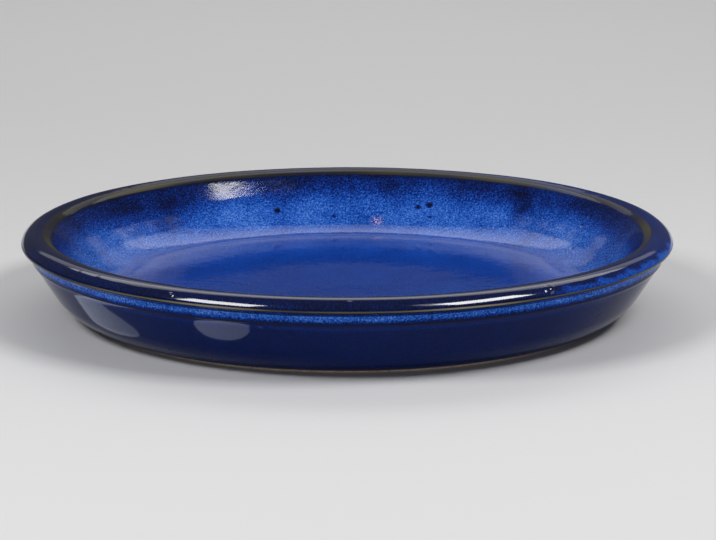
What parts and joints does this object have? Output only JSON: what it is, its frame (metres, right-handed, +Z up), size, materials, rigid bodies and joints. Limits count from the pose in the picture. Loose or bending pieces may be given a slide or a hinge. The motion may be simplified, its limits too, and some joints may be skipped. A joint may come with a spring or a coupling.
{
  "type": "plant saucer",
  "caption": "Round glazed stoneware saucer with a rounded lip, a grooved collar and a flaring wall on a bare foot ring, made to catch the water that drains from a plant pot.",
  "frame": {"origin": "on the saucer's axis, in the plane of the foot ring that it stands on", "axes": "+Z up along the axis; -Y towards the viewer of the picture and +X to the viewer's right"},
  "size_m": [0.3, 0.3, 0.0392],
  "materials": {
    "stoneware": "bare fired stoneware, dry and matt",
    "inside_glaze": "glossy mottled cobalt blue glaze",
    "rim_glaze": "glossy blue-black glaze that breaks olive brown on the edges",
    "outside_glaze": "glossy navy blue glaze, brighter where it pools in the groove"
  },
  "bodies": {
    "root": {"stoneware_body": "stoneware", "inside_glaze": "inside_glaze", "rim_glaze": "rim_glaze", "outside_glaze": "outside_glaze"}
  },
  "joints": []
}
